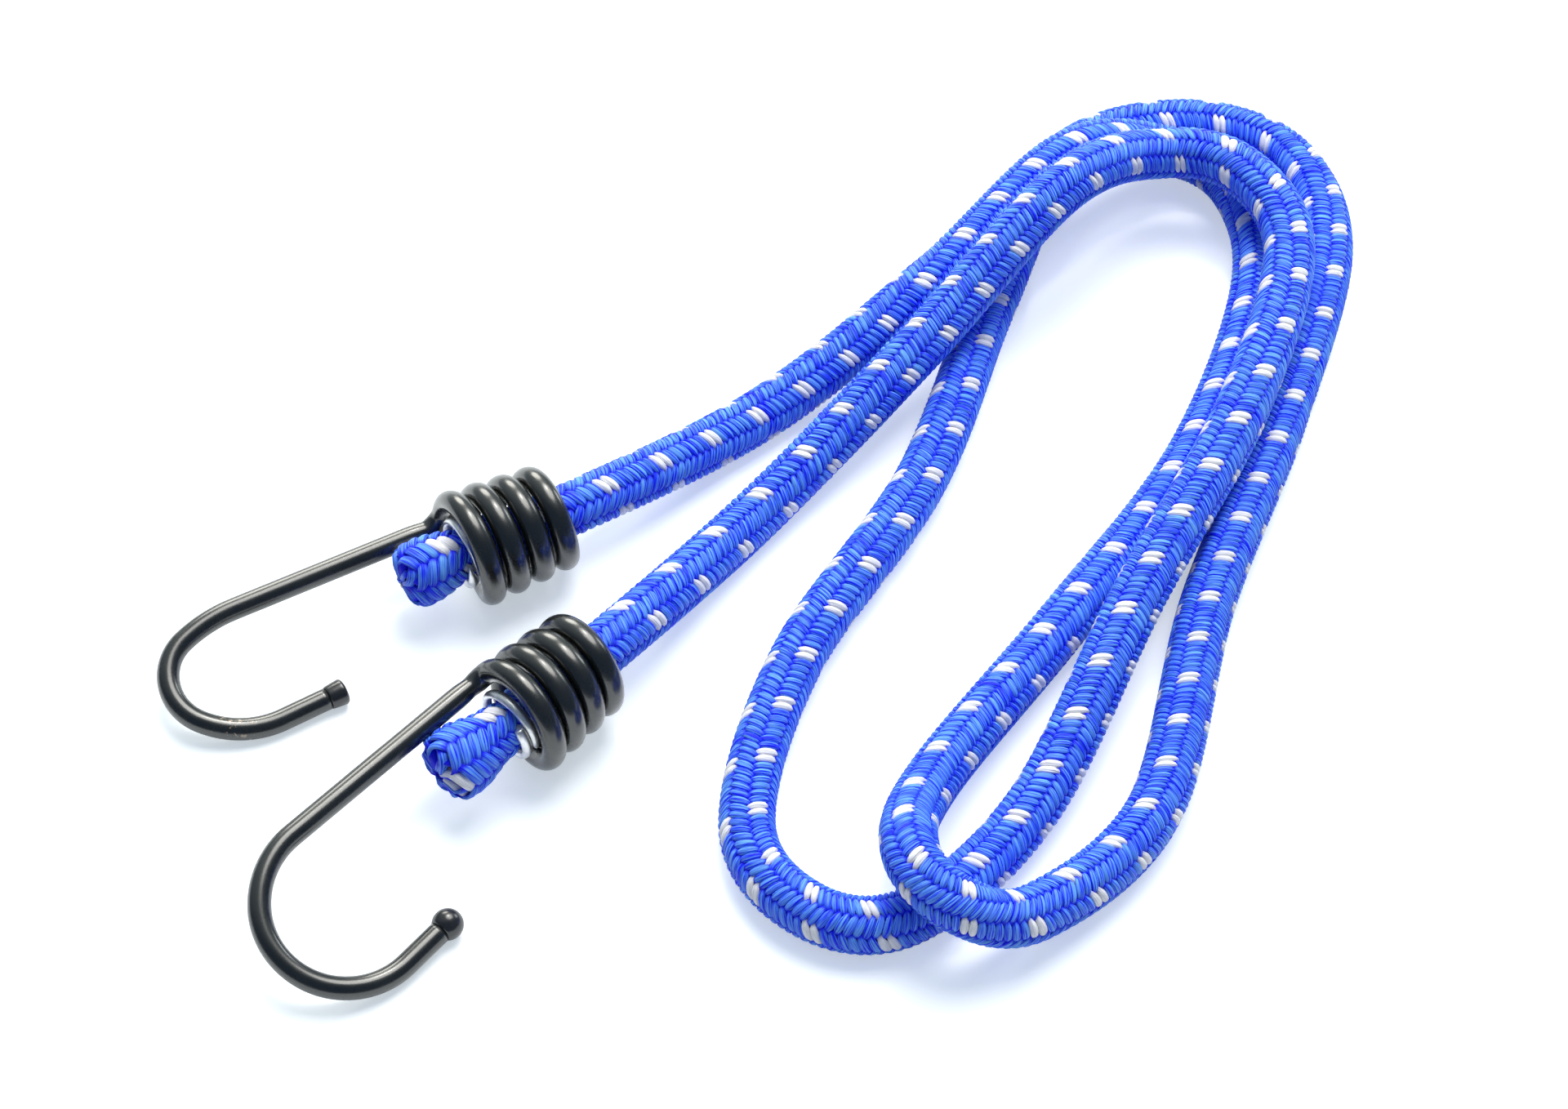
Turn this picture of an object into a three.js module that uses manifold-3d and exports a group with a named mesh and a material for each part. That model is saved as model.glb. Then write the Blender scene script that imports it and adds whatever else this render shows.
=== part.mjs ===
// Bungee cord with a steel wire hook at each end, lying doubled up in long loops.
// A braided sheath holds a bundle of square rubber threads. Each hook is a single black coated
// wire: a J with a covered tip at one end and, at the other, a coil wound over the cord. A hog
// ring clenched into the cord just behind the coil keeps the cord from slipping out of it.
// Millimetres, +Z up. The cord and both hooks rest on the plane z = 0.

import * as THREE from "three";
import { mergeVertices } from "three/addons/utils/BufferGeometryUtils.js";
import Module from "manifold-3d";

const wasm = await Module();
wasm.setup();

// Driving dimensions of the cord
const cordDiameter = 8;
const cordSides = 10;
const sheathWall = 0.7;
const threadGap = 0.3;
const longRow = 4;
const shortRow = 2;
const threadRows = [shortRow, longRow, longRow, shortRow];
const threadRecess = 0.5;
const cordStepLength = 24;
const cordStepTurn = THREE.MathUtils.degToRad(42);

// Driving dimensions of the hog rings
const ringWireDiameter = 1.2;
const ringWireSides = 6;
const ringBite = 0.3;
const ringSeatGap = 0.3;
const ringPitch = 1.6;
const ringOverlap = THREE.MathUtils.degToRad(22);

// How far behind the middle of each coil's first turn its ring sits, and where round the cord
// the ring's two ends lie side by side.
const ringAOffset = 1.4;
const ringASeam = THREE.MathUtils.degToRad(225);
const ringBOffset = 2.6;
const ringBSeam = THREE.MathUtils.degToRad(315);

// Driving dimensions that both hooks share. The coil's lean is felt most at coilLeanAngle, which
// is measured up from level round the coil's axis.
const wireDiameter = 3.2;
const wireSides = 8;
const coilTurns = 3.75;
const coilPitch = 3.95;
const coilGapToCord = 0.6;
const coilGapToRing = 0.3;
const neckBendRadius = 3.2;
const neckOffset = 4.7;
const stepsPerTurn = 24;
const bendStep = THREE.MathUtils.degToRad(12);
const coilLeanAngle = THREE.MathUtils.degToRad(33);

// Driving dimensions of the tips
const tipSeatGap = 0.3;
const tipSides = 16;
const capDiameter = 3.8;
const capRimDiameter = 3.4;
const capLength = 2.4;
const capEdgeRadius = 0.5;
const ballDiameter = 4.4;

// Driving dimensions of hook A. The shank's angle is measured up from level round the coil's
// axis, and its lean is how far it leans in towards the tip. The shoulder, the bow and the throat
// are the J's three bends, from the shank to the tip, each by the radius of the wire's centre
// line and the angle that it turns. The coil's lean is how far its turns are pushed over.
const hookAShankAngle = THREE.MathUtils.degToRad(-12);
const hookAShankLean = THREE.MathUtils.degToRad(1.2);
const hookAShankLength = 29.7;
const hookAShoulderRadius = 21.9;
const hookAShoulderTurn = THREE.MathUtils.degToRad(22.5);
const hookABowRadius = 7.5;
const hookABowTurn = THREE.MathUtils.degToRad(109);
const hookAThroatRadius = 13.4;
const hookAThroatTurn = THREE.MathUtils.degToRad(51.2);
const hookATipLength = 6.9;
const hookACoilLean = 0.4;

// Driving dimensions of hook B, in the same terms
const hookBShankAngle = THREE.MathUtils.degToRad(20);
const hookBShankLean = THREE.MathUtils.degToRad(1.6);
const hookBShankLength = 33.1;
const hookBShoulderRadius = 13;
const hookBShoulderTurn = THREE.MathUtils.degToRad(49.4);
const hookBBowRadius = 11;
const hookBBowTurn = THREE.MathUtils.degToRad(82.8);
const hookBThroatRadius = 12;
const hookBThroatTurn = THREE.MathUtils.degToRad(50.9);
const hookBTipLength = 6.4;
const hookBCoilLean = 1.2;

// The cord's centre line, from its cut end in hook A to its cut end in hook B. The second and the
// last but one points are the middles of the coils' first turns, and the cord is straight there.
const cordRoute = [
  [12.9, 18.4, 8.2],
  [23.8, 16.5, 9],
  [36.9, 13.6, 9],
  [74.4, 13.3, 3.9],
  [108.9, 13.5, 10.1],
  [139.7, 18, 13.1],
  [157.6, 14, 6.6],
  [162.1, 2.3, 4.3],
  [149.9, -15.1, 4],
  [118, -34, 4.1],
  [81.9, -45, 4.1],
  [48.2, -55.1, 6.5],
  [35.2, -64.9, 12.5],
  [34.8, -75, 11.3],
  [44.8, -80, 6],
  [69.1, -77, 4.1],
  [100.1, -55.6, 4.1],
  [132.9, -37.3, 4],
  [163.6, -16.8, 4],
  [173.7, 2.4, 4],
  [165.9, 18.4, 4],
  [145.8, 24.3, 4],
  [117, 8.7, 4],
  [84, -11.9, 4],
  [48.7, -25.7, 4],
  [25.1, -43.2, 4],
  [22.4, -59.1, 4],
  [32.4, -68.7, 4],
  [56.8, -66.1, 4.4],
  [90.9, -50.6, 8.5],
  [125.2, -36.3, 11.7],
  [152.9, -18, 12],
  [158.7, -1.9, 13],
  [152, 8.6, 13.3],
  [130.9, 8.8, 19.3],
  [97.9, 4.1, 10.5],
  [61.7, -1.3, 3.9],
  [24.8, -10.2, 9],
  [11.3, -11.7, 9],
  [-3.3, -12.2, 8],
].map((place) => new THREE.Vector3(...place));

// A polygon whose corners lie as far outside the round section that it stands for as its flats
// lie inside it, so that both have the same area.
const reachOf = (diameter, sides) => diameter / 2 / Math.sqrt(Math.cos(Math.PI / sides));

const cordReach = reachOf(cordDiameter, cordSides);
const wireReach = reachOf(wireDiameter, wireSides);
const ringWireReach = reachOf(ringWireDiameter, ringWireSides);
const boreReach = cordReach - sheathWall;
const grooveReach = cordReach - ringBite;
const ringRadius = grooveReach + ringSeatGap + ringWireReach;
const coilRadiusAtCord = cordReach + coilGapToCord + wireReach;
const coilRadiusAtHook = ringRadius + ringWireReach + coilGapToRing + wireReach;

const up = new THREE.Vector3(0, 0, 1);

// A curve given as stations, each with its point, its direction and the side that the section's
// x axis points to. An extrusion along it has exactly one ring of points at each station.
class StationCurve extends THREE.Curve {
  constructor(stations) {
    super();
    this.stations = stations;
  }

  getPoint(share, target = new THREE.Vector3()) {
    const last = this.stations.length - 1;
    const place = share * last;
    const index = Math.min(Math.floor(place), last - 1);
    const { point } = this.stations[index];
    return target.lerpVectors(point, this.stations[index + 1].point, place - index);
  }

  getSpacedPoints() {
    return this.stations.map((station) => station.point);
  }

  computeFrenetFrames() {
    const frames = this.stations.map(frameOf);
    return {
      tangents: frames.map((frame) => frame.tangent),
      normals: frames.map((frame) => frame.normal),
      binormals: frames.map((frame) => frame.binormal),
    };
  }
}

// The station's direction, its side made square to that direction, and the third axis.
function frameOf({ direction, side }) {
  const tangent = direction.clone().normalize();
  const normal = side.clone().addScaledVector(tangent, -side.dot(tangent)).normalize();
  const binormal = new THREE.Vector3().crossVectors(tangent, normal);
  return { tangent, normal, binormal };
}

// A regular polygon with a flat at the bottom.
function polygonPoints(reach, sides) {
  return Array.from({ length: sides }, (_, index) => {
    const angle = -Math.PI / 2 + ((index + 0.5) * 2 * Math.PI) / sides;
    return new THREE.Vector2(reach * Math.cos(angle), reach * Math.sin(angle));
  });
}

function polygonShape(reach, sides) {
  return new THREE.Shape(polygonPoints(reach, sides));
}

function ringShape(outerReach, innerReach, sides) {
  const shape = polygonShape(outerReach, sides);
  shape.holes.push(new THREE.Path(polygonPoints(innerReach, sides)));
  return shape;
}

function tubeAlong(stations, shape) {
  return new THREE.ExtrudeGeometry(shape, {
    steps: stations.length - 1,
    extrudePath: new StationCurve(stations),
  });
}

function solidOf(geometry) {
  const bare = geometry.clone();
  bare.deleteAttribute("normal");
  bare.deleteAttribute("uv");
  const merged = mergeVertices(bare);
  const mesh = new wasm.Mesh({
    numProp: 3,
    vertProperties: new Float32Array(merged.attributes.position.array),
    triVerts: new Uint32Array(merged.index.array),
  });
  return new wasm.Manifold(mesh);
}

function geometryOf(solid) {
  const { vertProperties, triVerts } = solid.getMesh();
  const geometry = new THREE.BufferGeometry();
  geometry.setAttribute("position", new THREE.BufferAttribute(vertProperties, 3));
  geometry.setIndex(new THREE.BufferAttribute(triVerts, 1));
  geometry.computeVertexNormals();
  return geometry;
}

// The least distance between two places on a centre line that lie further apart along it than
// `apart`, less the thickness of what follows the line.
function leastGap(points, apart, thickness) {
  const along = [0];
  for (let index = 1; index < points.length; index += 1) {
    along.push(along[index - 1] + points[index].distanceTo(points[index - 1]));
  }
  let least = Infinity;
  for (let first = 0; first < points.length; first += 1) {
    for (let second = first + 1; second < points.length; second += 1) {
      if (along[second] - along[first] > apart) {
        least = Math.min(least, points[first].distanceTo(points[second]));
      }
    }
  }
  return least - thickness;
}

// Materials
const braidMaterial = new THREE.MeshStandardMaterial({
  color: 0x2450e8,
  roughness: 0.75,
  metalness: 0,
});
const rubberMaterial = new THREE.MeshStandardMaterial({
  color: 0xd8cba8,
  roughness: 0.9,
  metalness: 0,
});
const coatedWireMaterial = new THREE.MeshStandardMaterial({
  color: 0x17181a,
  roughness: 0.28,
  metalness: 0.1,
});
const tipMaterial = new THREE.MeshStandardMaterial({
  color: 0x101012,
  roughness: 0.4,
  metalness: 0,
});
const zincWireMaterial = new THREE.MeshStandardMaterial({
  color: 0xc4c6c8,
  roughness: 0.35,
  metalness: 0.9,
});

const bungee = new THREE.Group();

function addPiece(name, geometry, material, placement = new THREE.Matrix4()) {
  const mesh = new THREE.Mesh(geometry, material);
  mesh.name = name;
  mesh.applyMatrix4(placement);
  bungee.add(mesh);
}

// The cord

const cordCurve = new THREE.CatmullRomCurve3(cordRoute, false, "catmullrom", 0.5);
const cordSpans = cordRoute.length - 1;

// The cord never rolls: its section stays upright, so that the flat at the bottom lies level.
function cordStation(share) {
  const direction = cordCurve.getTangent(share);
  const side = new THREE.Vector3().crossVectors(up, direction);
  return { point: cordCurve.getPoint(share), direction, side };
}

// Each span between two route points is cut into as many steps as its length and its turn need.
function cordStations() {
  const stations = [cordStation(0)];
  for (let span = 0; span < cordSpans; span += 1) {
    const length = cordRoute[span].distanceTo(cordRoute[span + 1]);
    const start = cordCurve.getTangent(span / cordSpans);
    const turn = start.angleTo(cordCurve.getTangent((span + 1) / cordSpans));
    const steps = Math.ceil(Math.max(length / cordStepLength, turn / cordStepTurn));
    for (let step = 1; step <= steps; step += 1) {
      stations.push(cordStation((span + step / steps) / cordSpans));
    }
  }
  return stations;
}

// The same stations with both ends drawn back into the sheath.
function recessed(stations, depth) {
  const shifted = (station, distance) => ({
    ...station,
    point: station.point.clone().addScaledVector(frameOf(station).tangent, distance),
  });
  const last = stations.length - 1;
  return [
    shifted(stations[0], depth),
    ...stations.slice(1, last),
    shifted(stations[last], -depth),
  ];
}

// The sheath is an open tube with a shallow groove where each hog ring is clenched into it.
function sheathGeometry(stations, grooves) {
  const tube = tubeAlong(stations, ringShape(cordReach, boreReach, cordSides));
  const grooved = grooves.reduce((solid, groove) => solid.subtract(groove), solidOf(tube));
  return geometryOf(grooved);
}

function grooveCutter({ station, width }) {
  const overrun = ringBite;
  const shape = ringShape(cordReach + overrun, grooveReach, cordSides);
  const band = new THREE.ExtrudeGeometry(shape, { depth: width, bevelEnabled: false });
  const { tangent, normal, binormal } = frameOf(station);
  const placement = new THREE.Matrix4().makeBasis(normal, binormal, tangent);
  placement.setPosition(station.point.clone().addScaledVector(tangent, -width / 2));
  return solidOf(band.applyMatrix4(placement));
}

// Square threads lie in rows, like bricks without their bond. Their side follows from the bore:
// the corner of the pattern that reaches furthest out stays one gap clear of the bore's flats.
function threadSide() {
  const boreFlat = boreReach * Math.cos(Math.PI / cordSides);
  const reach = boreFlat - threadGap;
  const gaps = new THREE.Vector2(longRow - 1, shortRow - 1).multiplyScalar(threadGap / 2);
  const sides = new THREE.Vector2(longRow, shortRow).multiplyScalar(1 / 2);
  const a = sides.dot(sides);
  const b = 2 * sides.dot(gaps);
  const c = gaps.dot(gaps) - reach * reach;
  return (-b + Math.sqrt(b * b - 4 * a * c)) / (2 * a);
}

function squareShape(x, y, side) {
  const half = side / 2;
  return new THREE.Shape([
    new THREE.Vector2(x - half, y - half),
    new THREE.Vector2(x + half, y - half),
    new THREE.Vector2(x + half, y + half),
    new THREE.Vector2(x - half, y + half),
  ]);
}

function addThreads(stations) {
  const side = threadSide();
  const pitch = side + threadGap;
  let number = 1;
  threadRows.forEach((count, row) => {
    const y = (row - (threadRows.length - 1) / 2) * pitch;
    for (let column = 0; column < count; column += 1) {
      const x = (column - (count - 1) / 2) * pitch;
      const name = `rubber_thread_${String(number).padStart(2, "0")}`;
      addPiece(name, tubeAlong(stations, squareShape(x, y, side)), rubberMaterial);
      number += 1;
    }
  });
}

// The hog rings

// A helix round the station's direction, a little more than one turn, so that its two ends lie
// side by side at the seam.
function ringStations({ station, seam }) {
  const { tangent, normal, binormal } = frameOf(station);
  const sweep = 2 * Math.PI + ringOverlap;
  const steps = Math.ceil((sweep * stepsPerTurn) / (2 * Math.PI));
  return Array.from({ length: steps + 1 }, (_, index) => {
    const travelled = (index / steps - 0.5) * sweep;
    const angle = seam + Math.PI + travelled;
    const advance = (ringPitch * travelled) / (2 * Math.PI);
    const outward = new THREE.Vector3()
      .addScaledVector(normal, Math.cos(angle))
      .addScaledVector(binormal, Math.sin(angle));
    const direction = new THREE.Vector3()
      .crossVectors(tangent, outward)
      .multiplyScalar(ringRadius)
      .addScaledVector(tangent, ringPitch / (2 * Math.PI));
    const point = station.point
      .clone()
      .addScaledVector(outward, ringRadius)
      .addScaledVector(tangent, advance);
    return { point, direction, side: outward };
  });
}

// The ring's place is measured from the coil's middle towards the cord's cut end.
function ringStation(coilIndex, endIndex, offset) {
  const stretch = cordRoute[coilIndex].distanceTo(cordRoute[endIndex]);
  const place = coilIndex + ((endIndex - coilIndex) * offset) / stretch;
  return cordStation(place / cordSpans);
}

const ringWidth = ringPitch + 2 * ringWireReach + (ringPitch * ringOverlap) / (2 * Math.PI);
const grooveWidth = ringWidth + 2 * ringSeatGap;

const rings = [
  {
    name: "hog_ring_a",
    seam: ringASeam,
    station: ringStation(1, 0, ringAOffset),
  },
  {
    name: "hog_ring_b",
    seam: ringBSeam,
    station: ringStation(cordSpans - 1, cordSpans, ringBOffset),
  },
];

for (const ring of rings) {
  const section = polygonShape(ringWireReach, ringWireSides);
  addPiece(ring.name, tubeAlong(ringStations(ring), section), zincWireMaterial);
}

const mainStations = cordStations();
const grooves = rings.map(({ station }) => grooveCutter({ station, width: grooveWidth }));
addPiece("braided_sheath", sheathGeometry(mainStations, grooves), braidMaterial);
addThreads(recessed(mainStations, threadRecess));

// The hooks
// A hook is made in its own axes: x along the coil towards the cord, y from the coil's axis to
// the shank. The J lies in a plane that holds the shank and is turned about it.

// The J's centre line in its own plane, walked from the coil out to the tip.
function hookOutline({ coilLean, shankAngle, shankLean, shankLength, bends, tipLength }) {
  let heading = Math.PI + shankLean;
  const place = new THREE.Vector2(-neckOffset + coilShift(0, { coilLean, shankAngle }), 0);
  const marks = [{ place: place.clone(), heading }];
  const straight = (length) => {
    place.x += length * Math.cos(heading);
    place.y += length * Math.sin(heading);
    marks.push({ place: place.clone(), heading });
  };
  const bend = (radius, turn) => {
    const steps = Math.ceil(turn / bendStep);
    const chord = 2 * radius * Math.sin(turn / steps / 2);
    for (let step = 0; step < steps; step += 1) {
      heading += turn / steps / 2;
      place.x += chord * Math.cos(heading);
      place.y += chord * Math.sin(heading);
      heading += turn / steps / 2;
      marks.push({ place: place.clone(), heading });
    }
  };
  straight(shankLength);
  for (const { radius, turn } of bends) {
    bend(radius, turn);
  }
  straight(tipLength);
  return marks;
}

// Runs from the tip back to the shank, so the direction is opposite to the heading.
function outlineStation({ place, heading }, plane) {
  const direction = new THREE.Vector3(-Math.cos(heading), -Math.sin(heading), 0);
  const side = new THREE.Vector3(Math.sin(heading), -Math.cos(heading), 0);
  return {
    point: new THREE.Vector3(place.x, place.y, 0).applyMatrix4(plane),
    direction: direction.transformDirection(plane),
    side: side.transformDirection(plane),
  };
}

// How far a place round the coil is pushed along x by the coil's lean.
function coilShift(angle, { coilLean, shankAngle }) {
  return coilLean * Math.cos(angle + shankAngle - coilLeanAngle);
}

// A place on the coil: `angle` is measured from y towards z, and `slope` is how the wire moves
// along x, round the coil and outward there.
function coilStation(hook, along, angle, radius, slope) {
  const outward = new THREE.Vector3(0, Math.cos(angle), Math.sin(angle));
  const round = new THREE.Vector3(0, -Math.sin(angle), Math.cos(angle));
  const shiftSlope = -hook.coilLean * Math.sin(angle + hook.shankAngle - coilLeanAngle);
  return {
    point: outward.clone().multiplyScalar(radius).setX(along + coilShift(angle, hook)),
    direction: round
      .multiplyScalar(slope.round)
      .addScaledVector(outward, slope.outward)
      .setX(slope.along + (shiftSlope * slope.round) / radius),
    side: outward,
  };
}

// The neck bends the wire from the shank's direction into the coil's, and lies on the coil's
// cylinder all the way. Then the coil winds towards the cord and closes in on it.
function coilStations(hook) {
  const lead = Math.atan(coilPitch / (2 * Math.PI * coilRadiusAtHook));
  const neckTurn = Math.PI / 2 - lead;
  const neckSteps = Math.ceil(neckTurn / bendStep);
  const neck = Array.from({ length: neckSteps }, (_, index) => {
    const turned = ((index + 1) * neckTurn) / neckSteps;
    const along = -neckOffset + neckBendRadius * Math.sin(turned);
    const angle = (neckBendRadius * (1 - Math.cos(turned))) / coilRadiusAtHook;
    const slope = { along: Math.cos(turned), round: Math.sin(turned), outward: 0 };
    return coilStation(hook, along, angle, coilRadiusAtHook, slope);
  });
  const firstAlong = -neckOffset + neckBendRadius * Math.sin(neckTurn);
  const firstAngle = (neckBendRadius * (1 - Math.cos(neckTurn))) / coilRadiusAtHook;
  const sweep = coilTurns * 2 * Math.PI;
  const coilSteps = Math.ceil(coilTurns * stepsPerTurn);
  const closing = coilRadiusAtCord - coilRadiusAtHook;
  const coil = Array.from({ length: coilSteps }, (_, index) => {
    const share = (index + 1) / coilSteps;
    const radius = coilRadiusAtHook + share * closing;
    const along = firstAlong + share * coilTurns * coilPitch;
    const slope = { along: coilPitch * coilTurns, round: radius * sweep, outward: closing };
    return coilStation(hook, along, firstAngle + share * sweep, radius, slope);
  });
  return [...neck, ...coil];
}

// The angle by which the J's plane slopes down from level, so that the far side of the J, or its
// tip where that is thicker, lies as low as the coil does. Its sine is a drop over a reach.
function outlineSlope(outline, shankHeight, tipReach) {
  const reach = Math.max(...outline.map(({ place }) => -place.y));
  const { place, heading } = outline[outline.length - 1];
  const tipPlace = -place.y - tipReach * Math.sin(heading);
  return Math.min(
    Math.asin((shankHeight - wireReach) / reach),
    Math.asin((shankHeight - tipReach) / tipPlace),
  );
}

// The J's plane holds the shank's line and is turned about it.
function outlinePlane(turn) {
  return new THREE.Matrix4().makeRotationX(turn).setPosition(0, coilRadiusAtHook, 0);
}

function hookPlacement({ coilMiddle, towardsCord, shankAngle }) {
  const xAxis = towardsCord.clone().sub(coilMiddle).setZ(0).normalize();
  const level = new THREE.Vector3().crossVectors(up, xAxis);
  const yAxis = level
    .clone()
    .multiplyScalar(Math.cos(shankAngle))
    .addScaledVector(up, Math.sin(shankAngle));
  const zAxis = new THREE.Vector3().crossVectors(xAxis, yAxis);
  return new THREE.Matrix4().makeBasis(xAxis, yAxis, zAxis).setPosition(coilMiddle);
}

// Turns a revolved tip, whose axis is y, to lie along the outline's end, one seat gap beyond it.
function tipPlacement(outline) {
  const { place, heading } = outline[outline.length - 1];
  const placement = new THREE.Matrix4().makeRotationZ(heading - Math.PI / 2);
  return placement.setPosition(
    place.x + tipSeatGap * Math.cos(heading),
    place.y + tipSeatGap * Math.sin(heading),
    0,
  );
}

// A blunt cap, a little wider at its end than at the wire, with a rounded edge.
function capGeometry() {
  const edgeSteps = 4;
  const profile = [new THREE.Vector2(0, 0), new THREE.Vector2(capRimDiameter / 2, 0)];
  for (let step = 0; step <= edgeSteps; step += 1) {
    const angle = (step / edgeSteps) * (Math.PI / 2);
    profile.push(
      new THREE.Vector2(
        capDiameter / 2 - capEdgeRadius * (1 - Math.cos(angle)),
        capLength - capEdgeRadius * (1 - Math.sin(angle)),
      ),
    );
  }
  profile.push(new THREE.Vector2(0, capLength));
  return new THREE.LatheGeometry(profile, tipSides);
}

// A ball with a flat as wide as the wire where it meets it.
function ballGeometry() {
  const radius = ballDiameter / 2;
  const start = Math.asin(wireDiameter / ballDiameter);
  const arcSteps = 8;
  const profile = [new THREE.Vector2(0, 0)];
  for (let step = 0; step < arcSteps; step += 1) {
    const angle = start + (step / arcSteps) * (Math.PI - start);
    profile.push(
      new THREE.Vector2(
        radius * Math.sin(angle),
        radius * (Math.cos(start) - Math.cos(angle)),
      ),
    );
  }
  profile.push(new THREE.Vector2(0, radius * (1 + Math.cos(start))));
  return new THREE.LatheGeometry(profile, tipSides);
}

const hooks = [
  {
    name: "hook_a",
    coilMiddle: cordRoute[1],
    towardsCord: cordRoute[2],
    coilLean: hookACoilLean,
    shankAngle: hookAShankAngle,
    shankLean: hookAShankLean,
    shankLength: hookAShankLength,
    bends: [
      { radius: hookAShoulderRadius, turn: hookAShoulderTurn },
      { radius: hookABowRadius, turn: hookABowTurn },
      { radius: hookAThroatRadius, turn: hookAThroatTurn },
    ],
    tipLength: hookATipLength,
    tipName: "hook_a_tip_cap",
    tipReach: capDiameter / 2,
    tipGeometry: capGeometry(),
  },
  {
    name: "hook_b",
    coilMiddle: cordRoute[cordSpans - 1],
    towardsCord: cordRoute[cordSpans - 2],
    coilLean: hookBCoilLean,
    shankAngle: hookBShankAngle,
    shankLean: hookBShankLean,
    shankLength: hookBShankLength,
    bends: [
      { radius: hookBShoulderRadius, turn: hookBShoulderTurn },
      { radius: hookBBowRadius, turn: hookBBowTurn },
      { radius: hookBThroatRadius, turn: hookBThroatTurn },
    ],
    tipLength: hookBTipLength,
    tipName: "hook_b_tip_ball",
    tipReach: ballDiameter / 2,
    tipGeometry: ballGeometry(),
  },
];

for (const hook of hooks) {
  const outline = hookOutline(hook);
  const shankHeight = hook.coilMiddle.z + coilRadiusAtHook * Math.sin(hook.shankAngle);
  const slope = outlineSlope(outline, shankHeight, hook.tipReach);
  const plane = outlinePlane(slope - hook.shankAngle);
  const limb = outline.map((mark) => outlineStation(mark, plane));
  // The section turns a little along the shank, from the coil's way up to the plane's.
  limb[0].side.set(0, 1, 0);
  const coil = coilStations(hook);
  const placement = hookPlacement(hook);
  const wire = tubeAlong([...limb.reverse(), ...coil], polygonShape(wireReach, wireSides));
  addPiece(`${hook.name}_wire`, wire, coatedWireMaterial, placement);
  const tipPlace = placement.clone().multiply(plane).multiply(tipPlacement(outline));
  addPiece(hook.tipName, hook.tipGeometry, tipMaterial, tipPlace);
  const coilPoints = coil.map(({ point }) => point);
  const coilGap = leastGap(coilPoints, Math.PI * coilRadiusAtCord, 2 * wireReach);
  console.log(`least gap between the turns of ${hook.name}'s coil: ${coilGap.toFixed(2)} mm`);
}

const cordPoints = cordCurve.getPoints(cordSpans * 16);
const cordGap = leastGap(cordPoints, 3 * cordDiameter, 2 * cordReach);
console.log(`least gap between two stretches of the cord: ${cordGap.toFixed(2)} mm`);
console.log(`length of the cord: ${cordCurve.getLength().toFixed(0)} mm`);

export default bungee;
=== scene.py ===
import math

import bmesh
import bpy
import numpy as np
from mathutils import Matrix, Vector


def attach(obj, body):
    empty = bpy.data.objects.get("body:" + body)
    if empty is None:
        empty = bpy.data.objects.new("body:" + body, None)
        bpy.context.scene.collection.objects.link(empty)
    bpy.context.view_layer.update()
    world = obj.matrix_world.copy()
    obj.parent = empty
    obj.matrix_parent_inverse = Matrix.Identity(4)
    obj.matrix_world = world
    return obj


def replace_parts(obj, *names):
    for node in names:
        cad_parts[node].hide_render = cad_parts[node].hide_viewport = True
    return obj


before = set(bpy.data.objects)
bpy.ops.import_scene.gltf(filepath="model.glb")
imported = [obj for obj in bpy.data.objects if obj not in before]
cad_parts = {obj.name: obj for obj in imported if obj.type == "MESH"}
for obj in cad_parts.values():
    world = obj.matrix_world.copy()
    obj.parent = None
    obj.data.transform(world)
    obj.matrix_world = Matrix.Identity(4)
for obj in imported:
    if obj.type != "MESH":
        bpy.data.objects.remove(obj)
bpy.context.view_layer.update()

# The camera looks down at the cord from beyond hook B's side, at fifty degrees, through a lens
# long enough to keep the loops nearly parallel.
camera_place = (-0.15904, -0.27048, 0.40955)
camera_heading = (0.41318, 0.4924, -0.76604)
camera_data = bpy.data.cameras.new("camera")
camera_data.sensor_width = 36
camera_data.lens = 84.375
camera_data.clip_start = 0.01


def added(name, data):
    """A new object with that mesh, lamp or camera, in the scene."""
    thing = bpy.data.objects.new(name, data)
    bpy.context.collection.objects.link(thing)
    return thing


def looking(place, heading):
    """The matrix that puts a camera or a lamp at a place and points it along a heading."""
    turn = Vector(heading).to_track_quat("-Z", "Y").to_matrix().to_4x4()
    return Matrix.Translation(place) @ turn


camera = added("camera", camera_data)
camera.matrix_world = looking(camera_place, camera_heading)
bpy.context.scene.camera = camera


# The cord's line. One elastic cord a metre long, lying doubled up in three long loops, from its
# cut end in hook A to its cut end in hook B. The points are those of the model, in millimetres.
steps_per_span = 60
cord_route = np.array([
    [12.9, 18.4, 8.2],
    [23.8, 16.5, 9],
    [36.9, 13.6, 9],
    [74.4, 13.3, 3.9],
    [108.9, 13.5, 10.1],
    [139.7, 18, 13.1],
    [157.6, 14, 6.6],
    [162.1, 2.3, 4.3],
    [149.9, -15.1, 4],
    [118, -34, 4.1],
    [81.9, -45, 4.1],
    [48.2, -55.1, 6.5],
    [35.2, -64.9, 12.5],
    [34.8, -75, 11.3],
    [44.8, -80, 6],
    [69.1, -77, 4.1],
    [100.1, -55.6, 4.1],
    [132.9, -37.3, 4],
    [163.6, -16.8, 4],
    [173.7, 2.4, 4],
    [165.9, 18.4, 4],
    [145.8, 24.3, 4],
    [117, 8.7, 4],
    [84, -11.9, 4],
    [48.7, -25.7, 4],
    [25.1, -43.2, 4],
    [22.4, -59.1, 4],
    [32.4, -68.7, 4],
    [56.8, -66.1, 4.4],
    [90.9, -50.6, 8.5],
    [125.2, -36.3, 11.7],
    [152.9, -18, 12],
    [158.7, -1.9, 13],
    [152, 8.6, 13.3],
    [130.9, 8.8, 19.3],
    [97.9, 4.1, 10.5],
    [61.7, -1.3, 3.9],
    [24.8, -10.2, 9],
    [11.3, -11.7, 9],
    [-3.3, -12.2, 8],
]) / 1000


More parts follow.
